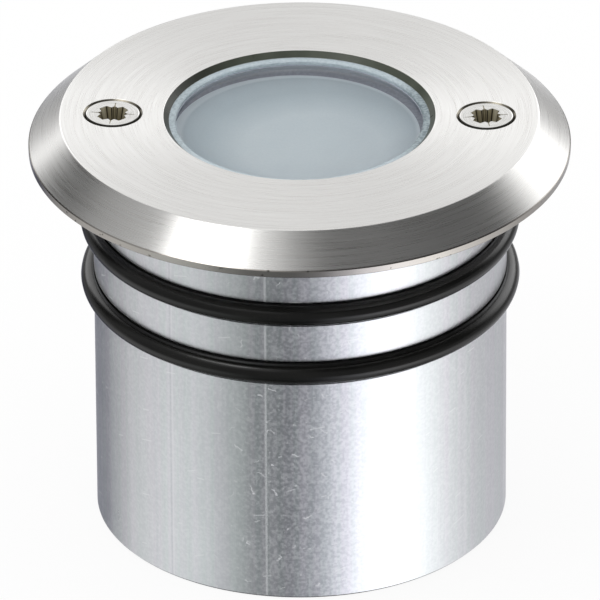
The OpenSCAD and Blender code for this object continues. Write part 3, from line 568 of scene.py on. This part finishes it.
tube_outline = [
    (MOUTH_R, TUBE_TOP_Z), (TUBE_R - 0.15, TUBE_TOP_Z), (TUBE_R, TUBE_TOP_Z - 0.15), *groove(GRIP_Z[0]),
    *groove(GRIP_Z[1]), (TUBE_R, 0.3), (TUBE_R - 0.3, OFF_FLOOR), (BASE_BORE_R + 0.2, OFF_FLOOR),
    (BASE_BORE_R, 0.2), (BASE_BORE_R, SNAP_GROOVE_LOW_Z), (SNAP_GROOVE_R, SNAP_GROOVE_LOW_Z),
    (SNAP_GROOVE_R, PLUG_LOW_Z), (BASE_BORE_R, PLUG_LOW_Z), (BASE_BORE_R, PLUG_TOP_Z), (BORE_R, PLUG_TOP_Z),
    (BORE_R, SEAT_Z), (MOUTH_R, SEAT_Z),
]
tapped_holes = [cutter([(circle(TAP_R, 48), z) for z in (47.9, 60)], (side * SCREW_X, 0)) for side in (-1, 1)]
tube = turned("tube", tube_outline, drawn_aluminium(), 256, tapped_holes)
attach(tube, "housing")
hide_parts("body_tube")


# Grip rings
# Two moulded rubber rings, stretched into the tube's grooves, which grip the hole that the light is
# pushed into. Each has a faint line where the halves of its mould met.
CORD_R, CORD_CENTRE_R, MOULD_SEAM = 1.5, 29.0, 0.03


def moulded_rubber():
    """Moulded black rubber: a soft wax-like sheen, faint flow marks and a little dust"""
    made, tree = new_finish("moulded_rubber")
    own = add(tree, "ShaderNodeTexCoord").node.outputs["Object"]
    grain = add(tree, "ShaderNodeTexNoise", {"Vector": own, "Scale": 1 / (0.5 * MM), "Detail": 4.0})
    clouds = add(tree, "ShaderNodeTexNoise", {"Vector": own, "Scale": 1 / (7 * MM), "Detail": 2.0})
    skin = add(tree, "ShaderNodeMix", {0: 0.5, 2: grain, 3: clouds}, data_type="FLOAT")
    return finished(made, {
        "Base Color": add(tree, "ShaderNodeValToRGB", {0: clouds}, [(0.35, "070706"), (0.65, "0F0F0D")]),
        "Roughness": add(tree, "ShaderNodeMapRange", {0: skin, 1: 0.3, 2: 0.7, 3: 0.15, 4: 0.26}), "IOR": 1.44,
        "Normal": add(tree, "ShaderNodeBump", {"Strength": 0.05, "Distance": 0.05 * MM, "Height": grain}),
    })


def cord_outline(z, steps=40):
    """Round section of a grip ring, with a low seam outside and inside"""
    points = []
    for i in range(steps):
        angle = 2 * math.pi * i / steps
        r = CORD_R - MOULD_SEAM * (i % (steps // 2) != 0)
        points.append((CORD_CENTRE_R + r * math.cos(angle), z + r * math.sin(angle)))
    return points


rubber = moulded_rubber()
for node, z in zip(("upper_grip_ring", "lower_grip_ring"), GRIP_Z):
    ring = turned(node.replace("_ring", ""), cord_outline(z), rubber)
    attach(ring, "housing")
    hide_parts(node)


# Glass and its gaskets
# A thick disc of clear float glass with ground edges, sandblasted underneath inside the gasket. A pale
# silicone ring lies over it under the cover's lip, and a dark one under it on the carrier.
GASKET_R, GLASS_LOW_Z, GLASS_TOP_Z, GLASS_R, GROUND_EDGE = 17.1, 55.4, 59.2, 21.0, 0.4


def float_glass():
    """Clear float glass: see-through, faintly green in its depth and a little smeared on its face"""
    made, tree = new_finish("float_glass")
    own = add(tree, "ShaderNodeTexCoord").node.outputs["Object"]
    smear = add(tree, "ShaderNodeTexNoise", {"Vector": own, "Scale": 1 / (5 * MM), "Detail": 3.0})
    return finished(made, {
        "Base Color": "F9FDFE", "IOR": 1.5, "Transmission Weight": 1.0,
        "Roughness": add(tree, "ShaderNodeMapRange", {0: smear, 1: 0.4, 2: 0.7, 3: 0.0, 4: 0.04}),
    })


def blasted_glass():
    """Sandblasted glass: a milky grey-blue face with a fine, even grain, drawn 0.3 mm coarse to show"""
    made, tree = new_finish("sandblasted_glass")
    own = add(tree, "ShaderNodeTexCoord").node.outputs["Object"]
    grain = add(tree, "ShaderNodeTexNoise", {"Vector": own, "Scale": 1 / (0.3 * MM), "Detail": 4.0})
    clouds = add(tree, "ShaderNodeTexNoise", {"Vector": own, "Scale": 1 / (12 * MM), "Detail": 2.0})
    mist = add(tree, "ShaderNodeMix", {0: 0.6, 2: grain, 3: clouds}, data_type="FLOAT")
    tone = add(tree, "ShaderNodeValToRGB", {0: mist}, [(0.3, "D8E2E8"), (0.7, "E4ECF0")])
    # Painted shade: the face is painted darker with distance from a point right of and in front of the middle, most
    # at the back and left
    middle = (2 * MM, -4 * MM, GLASS_LOW_Z * MM)
    off_middle = add(tree, "ShaderNodeVectorMath", {0: own, 1: middle}, operation="DISTANCE")
    far = add(tree, "ShaderNodeMath", {0: off_middle, 1: 1 / (16 * MM)}, operation="MULTIPLY")
    off_centre_shade = add(tree, "ShaderNodeValToRGB", {0: far}, [(0.60, "FFFFFF"), (0.85, "EAEEF0"), (1.0, "DCE2E5")])
    tone = add(tree, "ShaderNodeMix", {0: 1.0, 6: tone, 7: off_centre_shade}, data_type="RGBA", blend_type="MULTIPLY")
    # Painted highlight: the frost's outer band is painted an even tone, lighter than the shaded frost beside it, as
    # the light arc along its edge
    edge_highlight = add(tree, "ShaderNodeMapRange", {
        0: about_axis(tree)[0], 1: (GASKET_R - 1.2) * MM, 2: (GASKET_R - 0.6) * MM
    }, interpolation_type="SMOOTHSTEP")
    return finished(made, {
        "Base Color": add(tree, "ShaderNodeMix", {0: edge_highlight, 6: tone, 7: "E2EBF0"}, data_type="RGBA"),
        "Normal": add(tree, "ShaderNodeBump", {"Strength": 0.2, "Distance": 0.04 * MM, "Height": grain}),
        "Roughness": 0.6, "IOR": 1.5,
    })


def wetted_glass(name, dark, light, painted_light_tone=None):
    """Glass with no clear air behind it: it shows the silicone's colour or the white of its ground edge, and can be
    painted lighter towards the rim as painted light
    """
    made, tree = new_finish(name)
    own = add(tree, "ShaderNodeTexCoord").node.outputs["Object"]
    grain = add(tree, "ShaderNodeTexNoise", {"Vector": own, "Scale": 1 / (0.5 * MM), "Detail": 4.0})
    tone = add(tree, "ShaderNodeValToRGB", {0: grain}, [(0.38, dark), (0.62, light)])
    if painted_light_tone:
        # Painted light: towards the rim the tone is painted lighter, lifting the deep shade under the cover's lip
        outward = add(tree, "ShaderNodeMapRange", {
            0: about_axis(tree)[0], 1: (GASKET_R + 0.6) * MM, 2: (GASKET_R + 2.4) * MM
        }, interpolation_type="SMOOTHSTEP")
        tone = add(tree, "ShaderNodeMix", {0: outward, 6: tone, 7: painted_light_tone}, data_type="RGBA")
    return finished(made, {"Base Color": tone, "Roughness": 0.5})


glass_outline = [
    (0, GLASS_LOW_Z), (0, GLASS_TOP_Z), (GASKET_R, GLASS_TOP_Z), (GLASS_R - GROUND_EDGE, GLASS_TOP_Z),
    (GLASS_R, GLASS_TOP_Z - GROUND_EDGE), (GLASS_R, GLASS_LOW_Z + GROUND_EDGE),
    (GLASS_R - GROUND_EDGE, GLASS_LOW_Z), (GASKET_R, GLASS_LOW_Z),
]
glass = turned("glass", glass_outline, float_glass())
for finish in (
    blasted_glass(),
    # Painted light: the dark band is painted white towards the rim
    wetted_glass("dark_pressed_band", "808695", "969BAA", "FFFFFF"),
    wetted_glass("ground_glass_edge", "DCDEEA", "ECEDF6"),
):
    glass.data.materials.append(finish)
for face in glass.data.polygons:
    inside = face.center.xy.length < GASKET_R * MM
    if face.normal.z < -0.9:
        face.material_index = 1 if inside else 2
    elif not inside:
        face.material_index = 3
# The stencil for the sandblasting sat a little to the left and the front
for vertex in glass.data.vertices:
    if vertex.co.z < (GLASS_LOW_Z + 0.01) * MM and abs(vertex.co.xy.length - GASKET_R * MM) < 0.2 * MM:
        vertex.co += Vector((-0.4, -0.15, 0)) * MM
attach(glass, "housing")
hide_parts("lens_glass")


def cast_silicone(name, dark, light, side_tones=None):
    """Cast silicone: soft, satin and very slightly grainy; it can be darker and dotted at the sides, most at the
    right
    """
    made, tree = new_finish(name)
    own = add(tree, "ShaderNodeTexCoord").node.outputs["Object"]
    grain = add(tree, "ShaderNodeTexNoise", {"Vector": own, "Scale": 1 / (0.4 * MM), "Detail": 5.0})
    tone = add(tree, "ShaderNodeValToRGB", {0: grain}, [(0.38, dark), (0.62, light)])
    if side_tones:
        sideways = add(tree, "ShaderNodeSeparateXYZ", {0: about_axis(tree)[2]}).node.outputs["X"]
        either_side = add(tree, "ShaderNodeMath", {0: sideways}, operation="ABSOLUTE")
        at_sides = add(tree, "ShaderNodeMapRange", {
            0: either_side, 1: 0.72, 2: 0.97
        }, interpolation_type="SMOOTHSTEP")
        more_to_right = add(tree, "ShaderNodeMapRange", {0: sideways, 1: -1.0, 2: 1.0, 3: 0.48, 4: 1.0})
        share = add(tree, "ShaderNodeMath", {0: at_sides, 1: more_to_right}, operation="MULTIPLY")
        side_tone = add(tree, "ShaderNodeValToRGB", {0: grain}, side_tones)
        tone = add(tree, "ShaderNodeMix", {0: share, 6: tone, 7: side_tone}, data_type="RGBA")
    return finished(made, {
        "Base Color": tone,
        "Roughness": add(tree, "ShaderNodeMapRange", {0: grain, 1: 0.3, 2: 0.7, 3: 0.4, 4: 0.6}),
        "Normal": add(tree, "ShaderNodeBump", {"Strength": 0.25, "Distance": 0.05 * MM, "Height": grain}),
    })


def gasket_outline(inner, low, high):
    """Section of a flat gasket with its edges rounded by the squeeze"""
    soft = 0.15
    return [
        (inner + soft, low), (GLASS_R - soft, low), (GLASS_R, low + soft), (GLASS_R, high - soft),
        (GLASS_R - soft, high), (inner + soft, high), (inner, high - soft), (inner, low + soft),
    ]


CARRIER_TOP_Z, SQUEEZE = 54.0, 0.01
pale_silicone = cast_silicone("pale_silicone", "AAB7BE", "B9C5CB", [(0.42, "67747A"), (0.58, "96A3A8")])
dark_silicone = cast_silicone("dark_silicone", "7C7F8E", "8A8D9C")
for name, node, body, inner, low, high, slot, finish in (
    ("glass_ring", "upper_glass_gasket", "cover", GASKET_R, GLASS_TOP_Z, LIP_Z, "pale_silicone", pale_silicone),
    ("glass_seat", "lower_glass_gasket", "housing", GASKET_R - 0.5, CARRIER_TOP_Z, GLASS_LOW_Z, "dark_silicone",
     dark_silicone),
):
    ring = turned(name, gasket_outline(inner, low + SQUEEZE, high - SQUEEZE), finish)
    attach(ring, body)
    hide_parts(node)


# Cover screws
# Stainless countersunk screws, cold-headed with a star-shaped cross recess: four wings, four small ribs
# between them, and four ticks on the face in line with the ribs.
SCREW_TOP_Z, SCREW_TIP_Z, HEAD_R, SHANK_R = 60.67, 48.67, 3.75, 2.0


def headed_steel(centre_x, spin):
    """Cold-headed stainless: bright and smooth on its face and dull down in the recess; painted shade darkens the
    recess, most in its corners, and the head's edge
    """
    made, tree = new_finish("headed_stainless")
    radius, height, turn = about_axis(tree, (centre_x * MM, 0, 0))
    marks = tool_marks(tree, radius, height, turn, 0.12, 20)
    bright = add(tree, "ShaderNodeValToRGB", {0: marks}, [(0.3, "DCDBD7"), (0.7, "F2F1EF")])
    deep = add(tree, "ShaderNodeMapRange", {
        0: height, 1: (SCREW_TOP_Z - 0.08) * MM, 2: (SCREW_TOP_Z - 0.03) * MM, 3: 1.0, 4: 0.0
    }, interpolation_type="SMOOTHSTEP")
    facing = add(tree, "ShaderNodeSeparateXYZ", {0: turn}).node.outputs
    angle = add(tree, "ShaderNodeMath", {0: facing["Y"], 1: facing["X"]}, operation="ARCTAN2")
    own_angle = add(tree, "ShaderNodeMath", {0: angle, 1: math.radians(spin)}, operation="SUBTRACT")
    folded = add(tree, "ShaderNodeMath", {0: own_angle, 1: math.pi / 4}, operation="PINGPONG")
    share = add(tree, "ShaderNodeMath", {0: folded, 1: 4 / math.pi}, operation="MULTIPLY")
    # Painted shade: the recess walls are painted olive-brown, lighter or darker by facet, and near black in their
    # inner corners
    painted_recess_shade = add(tree, "ShaderNodeValToRGB", {0: share}, [
        (0.0, "A0977C"), (0.10, "554D38"), (0.20, "999179"), (0.27, "1E190E"), (0.33, "1E190E"),
        (0.40, "9C947A"), (0.60, "948C74"), (0.66, "1C170C"), (0.71, "1C170C"), (0.78, "9E967E"), (1.0, "B2AD99"),
    ])
    tone = add(tree, "ShaderNodeMix", {0: deep, 6: bright, 7: painted_recess_shade}, data_type="RGBA")
    # Painted shade: the head's rolled edge is painted near black, widest at the front, as the shade of the gap
    # round the head
    nearer = add(tree, "ShaderNodeMath", {0: facing["Y"], 1: -1.0}, operation="MULTIPLY", use_clamp=True)
    edge_shade_reach = add(tree, "ShaderNodeMath", {0: nearer, 1: 0.24 * MM, 2: radius}, operation="MULTIPLY_ADD")
    in_edge_shade = add(tree, "ShaderNodeMapRange", {
        0: edge_shade_reach, 1: (HEAD_R - 0.11) * MM, 2: (HEAD_R - 0.03) * MM
    }, interpolation_type="SMOOTHSTEP")
    rough = add(tree, "ShaderNodeMapRange", {0: marks, 1: 0.3, 2: 0.7, 3: 0.16, 4: 0.28})
    return finished(made, {
        "Base Color": add(tree, "ShaderNodeMix", {0: in_edge_shade, 6: tone, 7: "2A2924"}, data_type="RGBA"),
        "Metallic": add(tree, "ShaderNodeMapRange", {0: deep, 3: 1.0, 4: 0.3}),
        "Roughness": add(tree, "ShaderNodeMath", {0: deep, 1: 0.2, 2: rough}, operation="MULTIPLY_ADD"),
        "Normal": add(tree, "ShaderNodeBump", {"Strength": 0.1, "Distance": 0.02 * MM, "Height": marks}),
    })


def star_outline(wing, rib, root):
    """Corners of the recess, anticlockwise: wings on the diagonals, ribs between them, shallow roots"""
    points = []
    for k in range(4):
        turn, slant, next_turn = (Matrix.Rotation(math.radians(90 * k + extra), 2) for extra in (0, 45, 90))
        points += [turn @ Vector(p) for p in ((rib[0], -rib[1]), rib, root)]
        points += [slant @ Vector(p) for p in ((wing[0], -wing[1]), wing)]
        points.append(next_turn @ Vector((root[0], -root[1])))
    return points


screw_outline = [
    (0, SCREW_TOP_Z), (HEAD_R - 0.15, SCREW_TOP_Z), (HEAD_R - 0.03, SCREW_TOP_Z - 0.05),
    (HEAD_R, SCREW_TOP_Z - 0.13), (HEAD_R, SCREW_TOP_Z - 0.30), (SHANK_R, SCREW_TOP_Z - 2.05),
    (SHANK_R, SCREW_TIP_Z + 0.4), (SHANK_R - 0.4, SCREW_TIP_Z), (0, SCREW_TIP_Z),
]
mouth = star_outline((2.24, 0.62), (2.02, 0.10), (1.66, 0.42))
recess = [([p * size for p in mouth], SCREW_TOP_Z + z) for size, z in ((0.74, -2.3), (1.0, 0.0), (1.05, 0.5))]
tick_corners = ((1.9, -0.09), (3.05, -0.05), (3.05, 0.05), (1.9, 0.09))
tick = [(tick_corners, SCREW_TOP_Z + z) for z in (-0.1, 0.3)]
for name, side, spin in (("left_screw", -1, -6), ("right_screw", 1, 9)):
    cutters = [cutter(recess, turn=spin)] + [cutter(tick, turn=spin + 90 * k) for k in range(4)]
    screw = turned(name, screw_outline, headed_steel(side * SCREW_X, spin), 96, cutters)
    for vertex in screw.data.vertices:
        vertex.co.x += side * SCREW_X * MM
    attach(screw, name)
    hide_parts(name.replace("_screw", "_cover_screw"))


# Carrier, light engine, driver and base
# What the sealed tube holds, and the plug and gland under it. Their solids have the right shapes, so
# each keeps its own and gets the finish of what it is made of.
def worked_surface(name, dark, light, roughness, grain, relief, metallic=0.0, rings=False):
    """A finish whose tone, gloss and relief follow one grain size in mm, in rings where it was turned"""
    made, tree = new_finish(name)
    if rings:
        marks = tool_marks(tree, *about_axis(tree), grain, 15)
    else:
        own = add(tree, "ShaderNodeTexCoord").node.outputs["Object"]
        marks = add(tree, "ShaderNodeTexNoise", {"Vector": own, "Scale": 1 / (grain * MM), "Detail": 4.0})
    low, high = roughness - 0.06, roughness + 0.08
    return finished(made, {
        "Base Color": add(tree, "ShaderNodeValToRGB", {0: marks}, [(0.3, dark), (0.7, light)]),
        "Roughness": add(tree, "ShaderNodeMapRange", {0: marks, 1: 0.3, 2: 0.7, 3: low, 4: high}),
        "Normal": add(tree, "ShaderNodeBump", {"Strength": relief, "Distance": 0.04 * MM, "Height": marks}),
        "Metallic": metallic,
    })


def wear(finish, *nodes):
    """Gives CAD nodes their finish and leaves their shapes alone"""
    for node in nodes:
        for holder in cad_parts[node].material_slots:
            holder.material = finish


# Turned on a lathe: silvery, with fine rings that catch the light
wear(
    worked_surface("turned_aluminium", "B9BBBF", "D6D8DA", 0.32, 0.3, 0.15, metallic=1.0, rings=True),
    "led_carrier", "base_plug",
)
# The grip rings' rubber, in the seals too
wear(rubber, "carrier_seal", "plug_seal", "gland_washer", "gland_seal")
# Moulded glossy white, almost even, to throw the light upwards
wear(worked_surface("white_acrylic", "E4E6E6", "F0F1F1", 0.25, 1.5, 0.05), "reflector")
# Printed white lacquer over a metal-core board, a little warmer and duller than the reflector
wear(worked_surface("white_solder_mask", "DDDDD8", "EBEBE7", 0.35, 0.5, 0.1), "led_board")
# Yellow resin, cloudy with phosphor grains
wear(worked_surface("phosphor_silicone", "C79A1E", "E2BC3F", 0.3, 0.25, 0.1), "led_emitters")
# A dull pink pad, soft and slightly crumbly
wear(worked_surface("gap_pad", "B08C96", "C6A3AC", 0.75, 0.3, 0.3), "thermal_pad")
# Bright zinc with a faint spangle
wear(
    worked_surface("zinc_plated_steel", "B4B6B6", "D2D3D2", 0.28, 0.2, 0.1, metallic=1.0),
    "led_board_screws", "driver_screws", "terminal_screws",
)
# Green lacquer, glossy over the weave of the board
wear(worked_surface("green_solder_mask", "114A26", "1B6636", 0.35, 0.6, 0.12), "driver_board")
# Bar brass, yellow with short tool marks
wear(worked_surface("machined_brass", "B58E45", "D1AC62", 0.3, 0.2, 0.12, metallic=1.0), "driver_spacers")
# Pressed and sintered black ceramic, dull and sandy
wear(worked_surface("ferrite", "232323", "333332", 0.7, 0.25, 0.3), "driver_inductor")
# Thin dark blue film, shrunk tight and glossy
wear(worked_surface("shrink_sleeve", "14172F", "20244A", 0.3, 1.2, 0.06), "driver_capacitors")
# Moulded black epoxy, with the mould's fine spark-eroded grain
wear(worked_surface("epoxy_moulding", "191A1B", "28292A", 0.55, 0.15, 0.2), "driver_chips")
# Moulded green nylon, satin
wear(worked_surface("green_polyamide", "2F7A4A", "409060", 0.45, 0.3, 0.12), "terminal_block")
# Extruded red insulation, smooth and waxy
wear(worked_surface("pvc_insulation", "8E1A12", "AD2A1E", 0.4, 0.8, 0.08), "led_leads")
# Stamped spring steel, phosphated a dark even grey
wear(
    worked_surface("phosphated_spring_steel", "2B2B2D", "434346", 0.42, 0.3, 0.15, metallic=1.0),
    "retaining_ring",
)
# Moulded black nylon, satin with a fine grain
wear(worked_surface("black_polyamide", "1A1A1B", "29292A", 0.5, 0.25, 0.2), "gland_body", "gland_nut")
